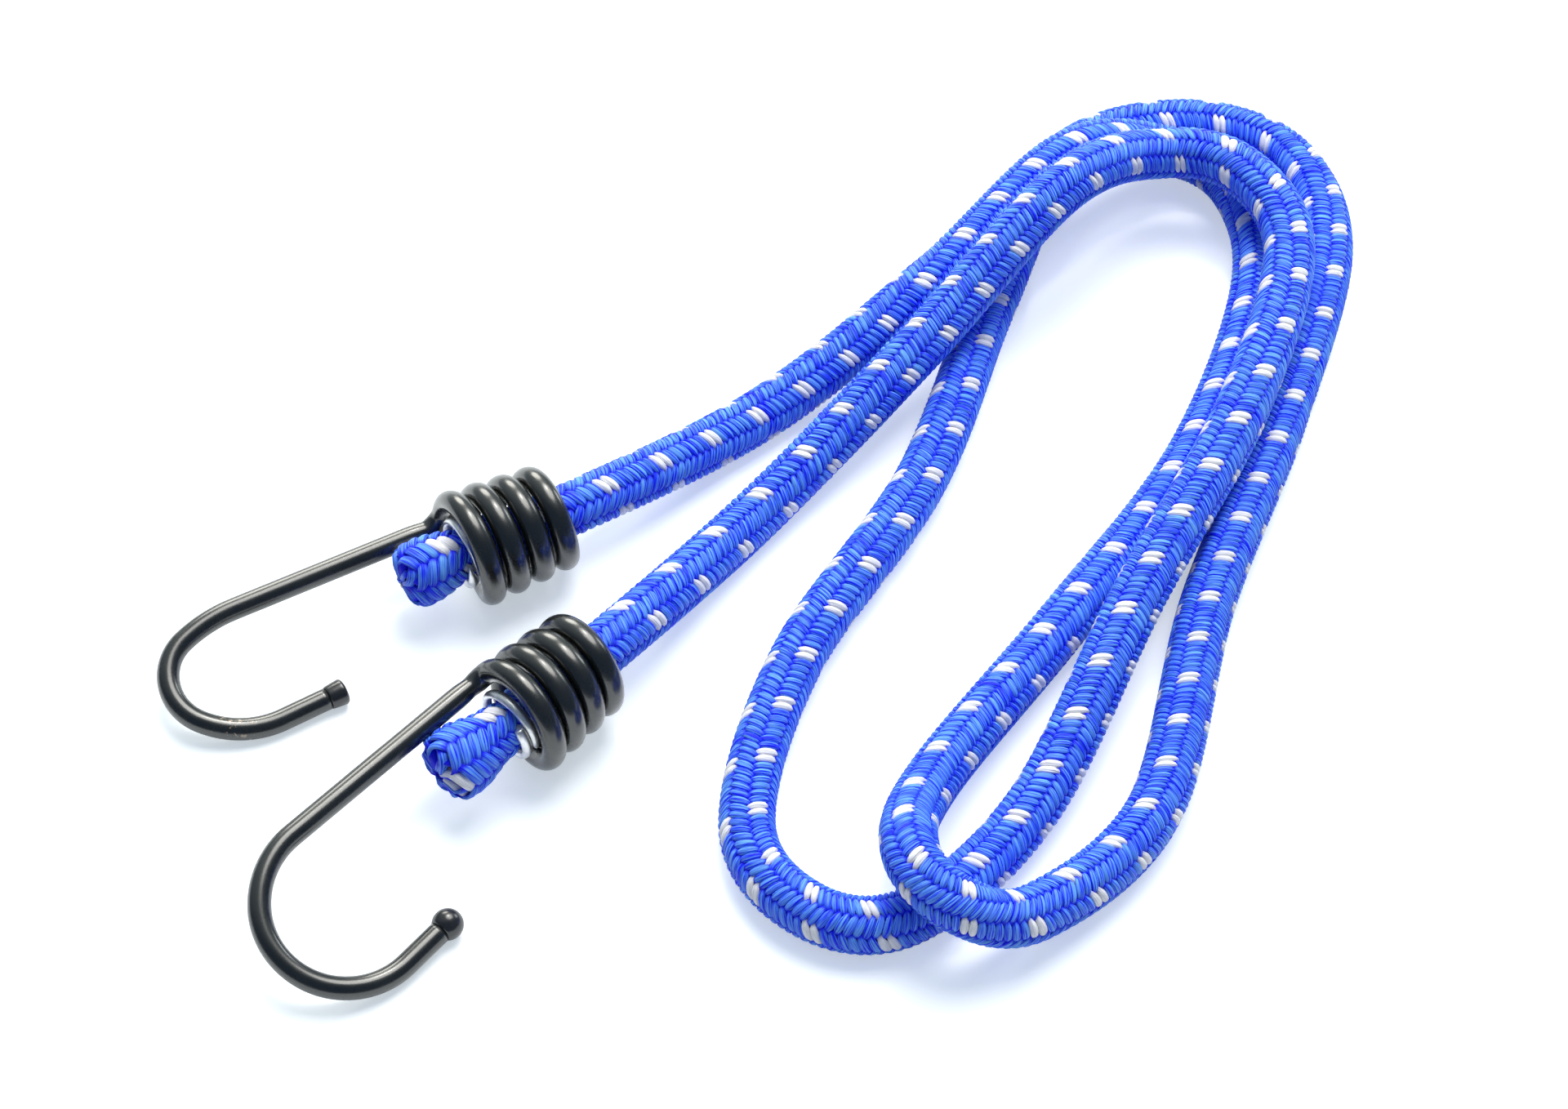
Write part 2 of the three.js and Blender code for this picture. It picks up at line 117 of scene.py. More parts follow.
def catmull_rom(points, steps):
    """The line through the points, with that many steps in each span."""
    padded = np.vstack([2 * points[0] - points[1], points, 2 * points[-1] - points[-2]])
    shares = (np.arange(steps) / steps)[:, None]
    spans = []
    for first in range(len(points) - 1):
        a, b, c, d = padded[first:first + 4]
        spans.append(0.5 * (
            2 * b
            + (c - a) * shares
            + (2 * a - 5 * b + 4 * c - d) * shares**2
            + (3 * b - a - 3 * c + d) * shares**3
        ))
    return np.vstack([*spans, points[-1:]])


def unit(vectors):
    return vectors / np.linalg.norm(vectors, axis=-1, keepdims=True)


def travelled_along(line):
    """The distance of each of the line's points from its start, along the line."""
    return np.r_[0, np.cumsum(np.linalg.norm(np.diff(line, axis=0), axis=1))]


def rows_at(wanted, places, rows):
    """The rows of a table at the wanted places, between the places of its own rows."""
    return np.stack([np.interp(wanted, places, column) for column in rows.T], axis=1)


cord_line = catmull_rom(cord_route, steps_per_span)
cord_places = travelled_along(cord_line)
cord_length = cord_places[-1]
cord_headings = unit(np.gradient(cord_line, cord_places, axis=0))
cord_turning = np.gradient(cord_headings, cord_places, axis=0)
cord_tops = unit(np.array([0, 0, 1]) - cord_headings * cord_headings[:, 2:3])
cord_sides = np.cross(cord_tops, cord_headings)

# How the braid lies on the cord: at each distance along it in millimetres, the number of turns
# that a yarn has made by there, and the roll of the braid's columns in degrees from level. The
# braid is worked open where the ends are pulled through the hooks, so a turn is longer there.
braid_lay = np.array([
    [0, -9.04, -87],
    [6.7, -8.5, -87],
    [16.5, -7.75, -78],
    [24.5, -7.1, -70],
    [32.5, -6.5, -69],
    [51.5, -4.5, -65],
    [69.5, -2.5, -47],
    [78.5, -1.5, -36],
    [85.5, -0.6, -42],
    [94.5, 0.5, -68],
    [105.5, 1.5, -95],
    [113.5, 2.5, -97],
    [130.5, 4.5, -84],
    [172.5, 9.5, -52],
    [191.5, 11.5, -66],
    [218.5, 14.5, -68],
    [245.5, 17.5, -92],
    [264.5, 19.5, -82],
    [282.5, 21.5, -66],
    [300.5, 23.5, -74],
    [314.5, 25.3, -78],
    [329.5, 27.5, -118],
    [342.5, 28.6, -104],
    [366.5, 31.5, -99],
    [396.5, 35.5, -84],
    [420.5, 38.5, -80],
    [447.5, 41.5, -62],
    [474.5, 44.5, -64],
    [494.5, 46.9, -44],
    [570.5, 55.25, -28],
    [597.5, 58.25, -41],
    [626.5, 61.25, -36],
    [645.5, 63.25, -33],
    [675.5, 66.4, -28],
    [693.5, 68.5, -10],
    [716.5, 71.25, 8],
    [744.5, 74.25, -5],
    [772.5, 77.25, -2],
    [800.5, 80.25, 13],
    [820.5, 82.25, 38],
    [831.5, 83.25, 35],
    [845.5, 84.8, 14],
    [859.5, 86.25, 9],
    [882.5, 88.25, 10],
    [899.5, 90.25, 27],
    [916.5, 92.25, 33],
    [934.5, 94.25, 21],
    [952.5, 96.25, -4],
    [973.5, 98.25, 13],
    [994.5, 100.25, 28],
    [1004.5, 101.1, 30],
    [1020.9, 102.25, 12],
    [1030.5, 103.02, 25],
])


# The braid. Sixteen polyester yarns, eight winding each way, each over two and under two of the
# others; where a yarn comes over it shows as a plump spindle. Two neighbours are white and the
# rest blue, so that the white spindles show as pairs of flecks in rows along the cord.
yarns_each_way = 8
white_yarns = 2
degrees_between_yarns = 360 / yarns_each_way
waves_per_turn = 4
braid_radius = 0.004
middle_radius = 0.0037
yarn_thickness = 0.00082
yarn_dive = 0.00056
full_spacing = 0.00107
most_fullness = 1.2
stretch_limits = (0.45, 1.6)

# The spindle: its widths are shares of the room that a yarn has, and the waves run from -1, under
# the others, to 1, over them.
float_width = 1.12
float_variation = 0.14
float_bluntness = 0.7
float_wander = 2.2
crossing_width = 0.55
loose_crossing_width = 0.3
under_bluntness = 0.6
under_thickness = 0.6
shown_from = -0.18
hidden_from = 0.1
cover_gain = 1.15
cover_lead = 0.12

# The cord's ends: the mouth of the braid closes over the rubber, a ring bites into it, and the
# stub between them is swollen, more at hook B than at hook A.
mouth_depth = 0.0021
mouth_inset = 0.0037
ring_places = [0.0096, cord_length - 0.0121]
ring_bite = 0.0013
ring_pinch = 0.00045
loose_length = 0.0095
loose_ramp = 0.006
loose_swelling = [0.0009, 0.0013]

steps_per_turn = 44
yarn_sides = 8
lay_samples = 4137
lay_easing = 24
float_easing = 4


def eased(values, reach):
    """A moving average that keeps the ends where they are."""
    padded = np.r_[
        2 * values[0] - values[reach:0:-1],
        values,
        2 * values[-1] - values[-2:-reach - 2:-1],
    ]
    window = np.ones(2 * reach + 1) / (2 * reach + 1)
    return np.convolve(padded, window, mode="valid")


# The table of the braid's lay, finely sampled and smoothed.
fine_places = np.linspace(0, cord_length, lay_samples)
fine_turns = eased(np.interp(fine_places, braid_lay[:, 0] / 1000, braid_lay[:, 1]), lay_easing)
fine_roll = eased(np.interp(fine_places, braid_lay[:, 0] / 1000, braid_lay[:, 2]), lay_easing)
fine_turn_length = 1 / np.gradient(fine_turns, fine_places)

# What all yarns share, at every step of theirs: the cord's line and how the braid lies on it.
yarn_steps = int((fine_turns[-1] - fine_turns[0]) * steps_per_turn)
braid_turns = np.linspace(fine_turns[0], fine_turns[-1], yarn_steps + 1)
braid_places = np.interp(braid_turns, fine_turns, fine_places)
braid_roll = np.interp(braid_places, fine_places, fine_roll)
turn_length = np.interp(braid_places, fine_places, fine_turn_length)
braid_centres = rows_at(braid_places, cord_places, cord_line)
braid_tops = unit(rows_at(braid_places, cord_places, cord_tops))
braid_sides = unit(rows_at(braid_places, cord_places, cord_sides))
braid_turning = rows_at(braid_places, cord_places, cord_turning)

to_end = np.minimum(braid_places, cord_length - braid_places)
closing = np.clip(1 - to_end / mouth_depth, 0, 1)
loosened = np.clip((loose_length - to_end) / loose_ramp, 0, 1)
swelling = np.where(braid_places < cord_length / 2, *loose_swelling)
braid_inset = mouth_inset * (1 - np.sqrt(1 - closing**2))
braid_inset = braid_inset - swelling * loosened**2 * (3 - 2 * loosened)
for ring_place in ring_places:
    off = (braid_places - ring_place) / ring_bite
    braid_inset = braid_inset + ring_pinch * np.exp(-off**2)


def corners_of(mesh):
    """The places of the mesh's vertices, a row for each."""
    flat = np.empty(len(mesh.vertices) * 3)
    mesh.vertices.foreach_get("co", flat)
    return flat.reshape(-1, 3)


def tube_mesh(name, steps, sides):
    """A closed tube with its steps along u and its sides round v, and each corner's place in it."""
    shape = bmesh.new()
    shape.loops.layers.uv.new("along")
    bmesh.ops.create_grid(
        shape, x_segments=steps, y_segments=sides, size=0.5, calc_uvs=True
    )
    mesh = bpy.data.meshes.new(name)
    shape.to_mesh(mesh)
    flat = corners_of(mesh)
    angle = 2 * np.pi * (flat[:, 1] + 0.5)
    round_tube = np.stack([flat[:, 0] * steps, np.cos(angle), np.sin(angle)], axis=1)
    mesh.vertices.foreach_set("co", round_tube.ravel())
    shape.clear()
    shape.from_mesh(mesh)
    bmesh.ops.remove_doubles(shape, verts=shape.verts, dist=0.001)
    bmesh.ops.holes_fill(shape, edges=shape.edges, sides=sides)
    bmesh.ops.recalc_face_normals(shape, faces=shape.faces)
    for face in shape.faces:
        face.smooth = len(face.verts) == 4
    shape.to_mesh(mesh)
    shape.free()
    corners = corners_of(mesh)
    step = np.rint(corners[:, 0] + steps / 2).astype(int)
    return mesh, step, corners[:, 1], corners[:, 2]


def swept(name, tube, centres, across, outward, half_width, half_depth):
    """A tube laid along the centres, with an oval section that has its own size at every step."""
    mesh, step, level, height = tube
    mesh = mesh.copy()
    mesh.name = name
    places = (
        centres[step]
        + across[step] * (half_width[step] * level)[:, None]
        + outward[step] * (half_depth[step] * height)[:, None]
    )
    mesh.vertices.foreach_set("co", places.ravel())
    mesh.update()
    return added(name, mesh)


def float_chance(number, start_angle, hand):
    """A chance from 0 to 1 for each of a yarn's floats, the same in every run."""
    scattered = np.sin(number * 12.9898 + start_angle * 7.233 + hand * 3.1) * 43758.5453
    return scattered - np.floor(scattered)


def add_share(piece, name, values):
    """An attribute of the piece's vertices, for its material."""
    attribute = piece.data.attributes.new(name, "FLOAT", "POINT")
    attribute.data.foreach_set("value", values.astype(np.float32))


def yarn(name, tube, hand, start_angle):
    """One yarn of the braid. hand is 1 for a right-handed lay and -1 for a left-handed one."""
    lay = np.radians(hand * 360 * braid_turns + start_angle)
    over = hand * np.cos(waves_per_turn * lay)
    cover = 0.5 + 0.5 * np.sin(np.pi / 2 * np.clip(cover_gain * over + cover_lead, -1, 1))
    shown = np.clip((over - shown_from) / (1 - shown_from), 0, 1)
    hidden = np.clip(-over - hidden_from, 0, 1)
    number = np.floor(waves_per_turn * lay / np.pi / 2 + 0.25)
    chance = eased(float_chance(number, start_angle, hand), float_easing) - 0.5
    angle = np.radians(braid_roll + float_wander * chance) + lay
    outward = braid_sides * np.cos(angle)[:, None] + braid_tops * np.sin(angle)[:, None]

    stretch = np.clip(1 - braid_radius * (outward * braid_turning).sum(axis=1), *stretch_limits)
    girth = 2 * np.pi * (middle_radius - braid_inset)
    steepness = girth / (turn_length * stretch)
    spacing = girth / yarns_each_way / np.sqrt(1 + steepness**2)
    fullness = np.clip(np.sqrt(full_spacing / spacing), 0, most_fullness)
    crossing = crossing_width + loose_crossing_width * loosened
    half_width = 0.5 * spacing * (
        crossing
        + (float_width - crossing + float_variation * chance) * shown**float_bluntness
        + (1 - crossing) * hidden**under_bluntness
    )
    half_depth = 0.5 * yarn_thickness * fullness * (
        under_thickness + (1 - under_thickness) * cover
    )
    radius = (
        braid_radius - 0.5 * yarn_thickness * fullness - yarn_dive * (1 - cover) - braid_inset
    )

    line = braid_centres + outward * radius[:, None]
    heading = unit(np.gradient(line, axis=0))
    across = unit(np.cross(heading, outward))
    piece = swept(name, tube, line, across, np.cross(across, heading), half_width, half_depth)
    add_share(piece, "shown", shown[tube[1]])
    add_share(piece, "tone", chance[tube[1]] + 0.5)
    return piece


def finish_of(name):
    """A new material, its node tree and the shader that is in it."""
    material = bpy.data.materials.new(name)
    material.use_nodes = True
    return material, material.node_tree, material.node_tree.nodes["Principled BSDF"]


def fill_in(node, values):
    """Gives the node's named inputs their values."""
    for name, value in values.items():
        node.inputs[name].default_value = value


def noise_over(tree, place, values):
    """Cloudy noise at the given places, as a value."""
    noise = tree.nodes.new("ShaderNodeTexNoise")
    fill_in(noise, values)
    tree.links.new(place, noise.inputs["Vector"])
    return noise.outputs["Fac"]


def ramp_of(tree, value, dark, light, dark_to=0, light_from=1):
    """The dark colour up to one value, the light colour from the other, all shades between."""
    ramp = tree.nodes.new("ShaderNodeValToRGB")
    ends = ramp.color_ramp.elements
    ends[0].position = dark_to
    ends[0].color = (*dark, 1)
    ends[1].position = light_from
    ends[1].color = (*light, 1)
    tree.links.new(value, ramp.inputs["Fac"])
    return ramp.outputs["Color"]


def range_of(tree, value, values, kind="LINEAR"):
    """The value brought from one range to another and held at the ends."""
    mapped = tree.nodes.new("ShaderNodeMapRange")
    mapped.interpolation_type = kind
    fill_in(mapped, values)
    tree.links.new(value, mapped.inputs["Value"])
    return mapped.outputs["Result"]


def mix_of(tree, share, first, second):
    """A mix of two colours by the share; each is a plain colour or another node's output."""
    mix = tree.nodes.new("ShaderNodeMix")
    mix.data_type = "RGBA"
    tree.links.new(share, mix.inputs["Factor"])
    for side, colour in (("A", first), ("B", second)):
        if isinstance(colour, tuple):
            mix.inputs[side].default_value = (*colour, 1)
        else:
            tree.links.new(colour, mix.inputs[side])
    return mix.outputs["Result"]


def roughen(tree, shader, height, strength, distance):
    """Fine relief on the surface, as high as the value says."""
    bump = tree.nodes.new("ShaderNodeBump")
    fill_in(bump, {"Strength": strength, "Distance": distance})
    tree.links.new(height, bump.inputs["Height"])
    tree.links.new(bump.outputs["Normal"], shader.inputs["Normal"])


def yarn_finish(name, painted_shade, dark, light):
    """Twisted filaments: fine streaks along the yarn, with painted shade where the yarn dives under
    others.
    """
    material, tree, shader = finish_of(name)
    place = tree.nodes.new("ShaderNodeUVMap")
    place.uv_map = "along"
    twisted = tree.nodes.new("ShaderNodeMapping")
    twisted.inputs["Scale"].default_value = (420, 13, 1)
    tree.links.new(place.outputs["UV"], twisted.inputs["Vector"])
    filaments = noise_over(
        tree, twisted.outputs["Vector"], {"Scale": 1, "Detail": 3, "Roughness": 0.6}
    )
    streaks = ramp_of(tree, filaments, dark, light, 0.41, 0.57)
    tone = tree.nodes.new("ShaderNodeAttribute")
    tone.attribute_name = "tone"
    toned = range_of(tree, tone.outputs["Fac"], {"To Min": 0, "To Max": 0.4})
    varied = mix_of(tree, toned, streaks, dark)
    shown = tree.nodes.new("ShaderNodeAttribute")
    shown.attribute_name = "shown"
    unshaded = range_of(
        tree, shown.outputs["Fac"], {"From Min": 0.1, "From Max": 0.6}, "SMOOTHSTEP"
    )
    # Painted shade: where little of the yarn shows, under the others, its colour goes over to a
    # darker colour that stands in for the shade there.
    tree.links.new(mix_of(tree, unshaded, painted_shade, varied), shader.inputs["Base Color"])
    roughen(tree, shader, filaments, 0.9, 0.0003)
    fill_in(shader, {
        "Roughness": 0.5,
        "Specular IOR Level": 0.25,
        "Sheen Weight": 0.15,
        "Sheen Roughness": 0.4,
        "Sheen Tint": (0.2, 0.42, 1, 1),
    })
    return material


# Each yarn's first colour is the painted shade for where it dives under the others; the other two
# are its streaks.
blue_yarn = yarn_finish("blue_yarn", (0.001, 0.003, 0.95), (0.002, 0.012, 1), (0.17, 0.48, 1))
white_yarn = yarn_finish("white_yarn", (0.6, 0.62, 0.78), (0.82, 0.81, 0.88), (0.99, 0.99, 1))

yarn_tube = tube_mesh("yarn_tube", yarn_steps, yarn_sides)
yarns = []
for number in range(yarns_each_way):
    start_angle = degrees_between_yarns * number
    right = yarn(f"yarn_right_{number + 1}", yarn_tube, 1, degrees_between_yarns / 2 - start_angle)
    left = yarn(f"yarn_left_{number + 1}", yarn_tube, -1, start_angle)
    right.data.materials.append(white_yarn if number < white_yarns else blue_yarn)
    left.data.materials.append(blue_yarn)
    yarns += [right, left]
for piece in yarns:
    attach(piece, "cord")
    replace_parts(piece, "braided_sheath")


# The rubber. A bundle of square threads of natural rubber fills the braid and is what stretches.
# The ends are cut off flush, just inside the mouth of the braid.
thread_side = 0.00098
thread_pitch = 0.00106
thread_rows = [3, 5, 5, 5, 3]
thread_recess = 0.0022
thread_steps = 699


def mesh_of(name, shape):
    """The shape as a mesh; the shape is freed."""
    mesh = bpy.data.meshes.new(name)
    shape.to_mesh(mesh)
    shape.free()
    return mesh


def object_place(tree):
    """The place of each point of the surface, in the object's own axes."""
    return tree.nodes.new("ShaderNodeTexCoord").outputs["Object"]


thread_places = np.linspace(thread_recess, cord_length - thread_recess, thread_steps + 1)
thread_centres = rows_at(thread_places, cord_places, cord_line)
thread_tops = unit(rows_at(thread_places, cord_places, cord_tops))
thread_sides = unit(rows_at(thread_places, cord_places, cord_sides))
thread_tube = tube_mesh("thread_tube", thread_steps, 4)
thread_half = np.full(thread_steps + 1, thread_side / math.sqrt(2))
diagonal = unit(thread_sides + thread_tops)
other_diagonal = unit(thread_tops - thread_sides)
bundle = bmesh.new()
for row, count in enumerate(thread_rows):
    height = (row - (len(thread_rows) - 1) / 2) * thread_pitch
    for column in range(count):
        level = (column - (count - 1) / 2) * thread_pitch
        centres = thread_centres + thread_sides * level + thread_tops * height
        thread = swept(
            "thread", thread_tube, centres, diagonal, other_diagonal, thread_half, thread_half
        )
        bundle.from_mesh(thread.data)
        bpy.data.objects.remove(thread)
for face in bundle.faces:
    face.smooth = False
rubber_threads = added("rubber_threads", mesh_of("rubber_threads", bundle))

rubber, tree, shader = finish_of("rubber")
specks = noise_over(tree, object_place(tree), {"Scale": 2600, "Detail": 4})
latex = ramp_of(tree, specks, (0.5, 0.4, 0.24), (0.78, 0.68, 0.47))
tree.links.new(latex, shader.inputs["Base Color"])
shader.inputs["Roughness"].default_value = 0.7
rubber_threads.data.materials.append(rubber)
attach(rubber_threads, "cord")
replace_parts(rubber_threads, *[f"rubber_thread_{number:02d}" for number in range(1, 13)])


# The hog rings. Short lengths of bright zinc-plated wire, pointed at one end and cut square at
# the other, bent round the cord behind each coil and clenched flat until they bite the braid.
ring_half_width = 0.0008
ring_half_depth = 0.00056
ring_radius = 0.00475
ring_pitch = 0.0016
ring_overlap = math.radians(70)
ring_seams = [math.radians(195), math.radians(5)]
ring_steps = 120
ring_sides = 12

# The ends of the wire: the share of its width that each starts with, and in how many steps it
# gains a whole width.
point_width = 0.16
point_taper = 9
square_width = 0.8
square_taper = 8

zinc, tree, shader = finish_of("zinc")
draw_marks = noise_over(tree, object_place(tree), {"Scale": 1500, "Detail": 3})
plating = ramp_of(tree, draw_marks, (0.62, 0.63, 0.64), (0.95, 0.95, 0.95), 0.3)
tree.links.new(plating, shader.inputs["Base Color"])
roughen(tree, shader, draw_marks, 0.25, 0.0001)
fill_in(shader, {"Metallic": 0.85, "Roughness": 0.36})

ring_tube = tube_mesh("ring_tube", ring_steps, ring_sides)


def hog_ring(name, place, seam):
    """One turn and a little more of wire round the cord, its ends side by side at the seam."""
    centre = rows_at([place], cord_places, cord_line)[0]
    heading = unit(rows_at([place], cord_places, cord_headings))[0]
    top = unit(np.array([0, 0, 1]) - heading * heading[2])
    side = np.cross(top, heading)
    shares = np.linspace(-0.5, 0.5, ring_steps + 1)
    travelled = shares * (2 * np.pi + ring_overlap)
    angle = seam + np.pi + travelled
    outward = np.outer(np.cos(angle), side) + np.outer(np.sin(angle), top)
    line = centre + outward * ring_radius + np.outer(ring_pitch * travelled / (2 * np.pi), heading)
    along = unit(np.gradient(line, axis=0))
    across = unit(np.cross(along, outward))
    from_point = (shares + 0.5) * (ring_steps + 1)
    from_square = (0.5 - shares) * (ring_steps + 1)
    taper = (
        np.clip(point_width + from_point / point_taper, 0, 1)
        * np.clip(square_width + from_square / square_taper, 0, 1)
    )
    ring = swept(
        name, ring_tube, line, across, np.cross(across, along),
        ring_half_width * taper, ring_half_depth * np.sqrt(taper),
    )
    ring.data.materials.append(zinc)
    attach(ring, "cord")
    return ring


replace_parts(hog_ring("ring_a", ring_places[0], ring_seams[0]), "hog_ring_a")
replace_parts(hog_ring("ring_b", ring_places[1], ring_seams[1]), "hog_ring_b")


# The hooks. Each is one piece of 3.2 mm spring steel wire, dipped in black vinyl: a J outside and,
# behind it, a coil of nearly four turns wound over the cord, closing in on it turn by turn. The
# vinyl is thicker between the turns, where it gathered as it ran off.
wire_radius = 0.0016
wire_sides = 24
coil_thickening = 0.13
thickening_start = 8
thickening_steps = 30

# The wire's end in the coil is rounded off, and the tool that bent the neck has pinched it there.
end_rounding = 0.9
end_least = 0.05
pinch_depth = 0.00018
pinch_reach = 0.0011

# The wire's path, in millimetres.
coil_turns = 3.75
coil_pitch = 3.95
coil_radius_at_cord = 6.37
coil_radius_at_hook = 7.36
coil_lean_angle = math.radians(33)
neck_bend_radius = 3.2
neck_offset = 4.7
bend_height = 1.665

steps_per_coil_turn = 72
neck_steps = 15
shank_steps = 24
tip_steps = 10
degrees_per_bend_step = 3

coated_wire, tree, shader = finish_of("coated_wire")
place = object_place(tree)
skin = noise_over(tree, place, {"Scale": 300, "Detail": 5})
black = ramp_of(tree, skin, (0.004, 0.005, 0.0045), (0.01, 0.012, 0.01))

# Brown specks on the bend of hook A, where the vinyl is scuffed.
scuffed = tree.nodes.new("ShaderNodeVectorMath")
scuffed.operation = "DISTANCE"
scuffed.inputs[1].default_value = (-0.0176, 0.0166, 0.0022)
tree.links.new(place, scuffed.inputs[0])
near = range_of(tree, scuffed.outputs["Value"], {
    "From Min": 0.002, "From Max": 0.007, "To Min": 0.34, "To Max": 0,
})
flakes = noise_over(tree, place, {"Scale": 1100, "Detail": 3})
worn = tree.nodes.new("ShaderNodeMath")
worn.operation = "ADD"
tree.links.new(flakes, worn.inputs[0])
tree.links.new(near, worn.inputs[1])
bare = range_of(tree, worn.outputs["Value"], {"From Min": 0.91, "From Max": 0.95})
tree.links.new(mix_of(tree, bare, black, (0.3, 0.22, 0.14)), shader.inputs["Base Color"])

roughen(tree, shader, skin, 0.12, 0.0001)
gloss = range_of(tree, skin, {"To Min": 0.2, "To Max": 0.34})
tree.links.new(gloss, shader.inputs["Roughness"])
fill_in(shader, {"Specular IOR Level": 0.8, "Coat Weight": 0.25, "Coat Roughness": 0.1})


def hook_outline(start, lean, shank, bends, tip):
    """The J from the coil out to the tip, in its own plane: places and headings."""
    heading = math.pi + math.radians(lean)
    place = np.array([start, 0.0])
    marks = [(place.copy(), heading)]

    def straight(length, steps):
        for _ in range(steps):
            place[:] += length / steps * np.array([math.cos(heading), math.sin(heading)])
            marks.append((place.copy(), heading))

    straight(shank, shank_steps)
    for radius, turn in bends:
        steps = math.ceil(turn / degrees_per_bend_step)
        half = math.radians(turn / steps) / 2
        chord = 2 * radius * math.sin(half)
        for _ in range(steps):
            heading += half
            place += chord * np.array([math.cos(heading), math.sin(heading)])
            heading += half
            marks.append((place.copy(), heading))
    straight(tip, tip_steps)
    return marks


def coil_line(shank_angle, coil_lean):
    """The neck and the coil in the hook's own axes, x along the coil towards the cord."""
    lead = math.atan(coil_pitch / (2 * math.pi * coil_radius_at_hook))
    turned = np.linspace(0, math.pi / 2 - lead, neck_steps + 1)[1:]
    neck = np.stack([
        -neck_offset + neck_bend_radius * np.sin(turned),
        neck_bend_radius * (1 - np.cos(turned)) / coil_radius_at_hook,
        np.full(neck_steps, coil_radius_at_hook),
    ], axis=1)
    shares = np.linspace(0, 1, int(coil_turns * steps_per_coil_turn))[1:]
    coil = np.stack([
        neck[-1, 0] + shares * coil_turns * coil_pitch,
        neck[-1, 1] + shares * coil_turns * 2 * np.pi,
        coil_radius_at_hook + shares * (coil_radius_at_cord - coil_radius_at_hook),
    ], axis=1)
    along, angle, radius = np.vstack([neck, coil]).T
    along = along + coil_lean * np.cos(angle + shank_angle - coil_lean_angle)
    return np.stack([along, radius * np.cos(angle), radius * np.sin(angle)], axis=1)


def hook(name, coil_middle, next_point, shank_angle, coil_lean, tip_radius, outline):
    """The wire from the tip to the coil's end, placed so that it lies on its coil and its bend."""
    shank_angle = math.radians(shank_angle)
    start = -neck_offset + coil_lean * math.cos(shank_angle - coil_lean_angle)
    marks = hook_outline(start, **outline)
    x_axis = next_point - coil_middle
    x_axis = unit(np.array([x_axis[0], x_axis[1], 0]))
    level = np.cross([0, 0, 1], x_axis)
    shank_height = coil_middle[2] * 1000 + coil_radius_at_hook * math.sin(shank_angle)
    reach = max(-place[1] for place, _ in marks)
    end, end_heading = marks[-1]
    slope = min(
        math.asin((shank_height - bend_height) / reach),
        math.asin((shank_height - tip_radius) / (-end[1] - tip_radius * math.sin(end_heading))),
    )
    turn = slope - shank_angle
    y_axis = level * math.cos(shank_angle) + np.array([0, 0, math.sin(shank_angle)])
    axes = np.stack([x_axis, y_axis, np.cross(x_axis, y_axis)])
    flat = np.array([
        [x, coil_radius_at_hook + y * math.cos(turn), y * math.sin(turn)] for (x, y), _ in marks
    ])[::-1]
    line = coil_middle + np.vstack([flat, coil_line(shank_angle, coil_lean)]) @ axes / 1000
    along = unit(np.gradient(line, axis=0))
    across = [unit(np.cross(along[0], axes[2]))]
    for heading in along[1:]:
        across.append(unit(across[-1] - heading * (across[-1] @ heading)))
    across = np.array(across)

    travelled = travelled_along(line)
    from_end = (travelled[-1] - travelled) / wire_radius
    rounded = 1 - np.clip(end_rounding - from_end, 0, 1) ** 2
    half = wire_radius * np.sqrt(np.clip(rounded, end_least, 1))
    gripped = np.exp(-((travelled - travelled[len(flat) - 1]) / pinch_reach) ** 2)
    tube = tube_mesh("wire_tube", len(line) - 1, wire_sides)
    wire = swept(
        f"wire_{name}", tube, line, across, np.cross(across, along),
        half - pinch_depth * gripped, half,
    )
    corners = corners_of(wire.data)
    in_coil = np.clip((tube[1] - len(flat) - thickening_start) / thickening_steps, 0, 1)
    aside = (corners - line[tube[1]]) @ x_axis
    corners += np.outer(coil_thickening * in_coil * aside, x_axis)
    wire.data.vertices.foreach_set("co", corners.ravel())
    wire.data.materials.append(coated_wire)
    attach(wire, name)
    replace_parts(wire, f"{name}_wire")
    return line[0], -along[0]


end_a, out_a = hook(
    "hook_a",
    coil_middle=cord_route[1],
    next_point=cord_route[2],
    shank_angle=-12,
    coil_lean=0.4,
    tip_radius=1.9,
    outline={
        "lean": 1.2,
        "shank": 29.7,
        "bends": [(21.9, 22.5), (7.5, 109), (13.4, 51.2)],
        "tip": 6.9,
    },
)
end_b, out_b = hook(
    "hook_b",
    coil_middle=cord_route[-2],
    next_point=cord_route[-3],
    shank_angle=20,
    coil_lean=1.2,
    tip_radius=2.2,
    outline={
        "lean": 1.6,
        "shank": 33.1,
        "bends": [(13, 49.4), (11, 82.8), (12, 50.9)],
        "tip": 6.4,
    },
)


# The tips. Hook A's is a blunt moulded cap, a little wider at its end, and hook B's is a ball.
# Both are black plastic pushed over the end of the wire, to keep it from scratching. Their
# profiles are in millimetres.
tip_sides = 32
wire_end_radius = 1.6
tip_gap = 0.05

tip_plastic, tree, shader = finish_of("tip_plastic")
grain = noise_over(tree, object_place(tree), {"Scale": 1800})
black = ramp_of(tree, grain, (0.008, 0.008, 0.009), (0.02, 0.02, 0.022))
tree.links.new(black, shader.inputs["Base Color"])
roughen(tree, shader, grain, 0.1, 0.0001)
fill_in(shader, {"Roughness": 0.24, "Specular IOR Level": 0.7})


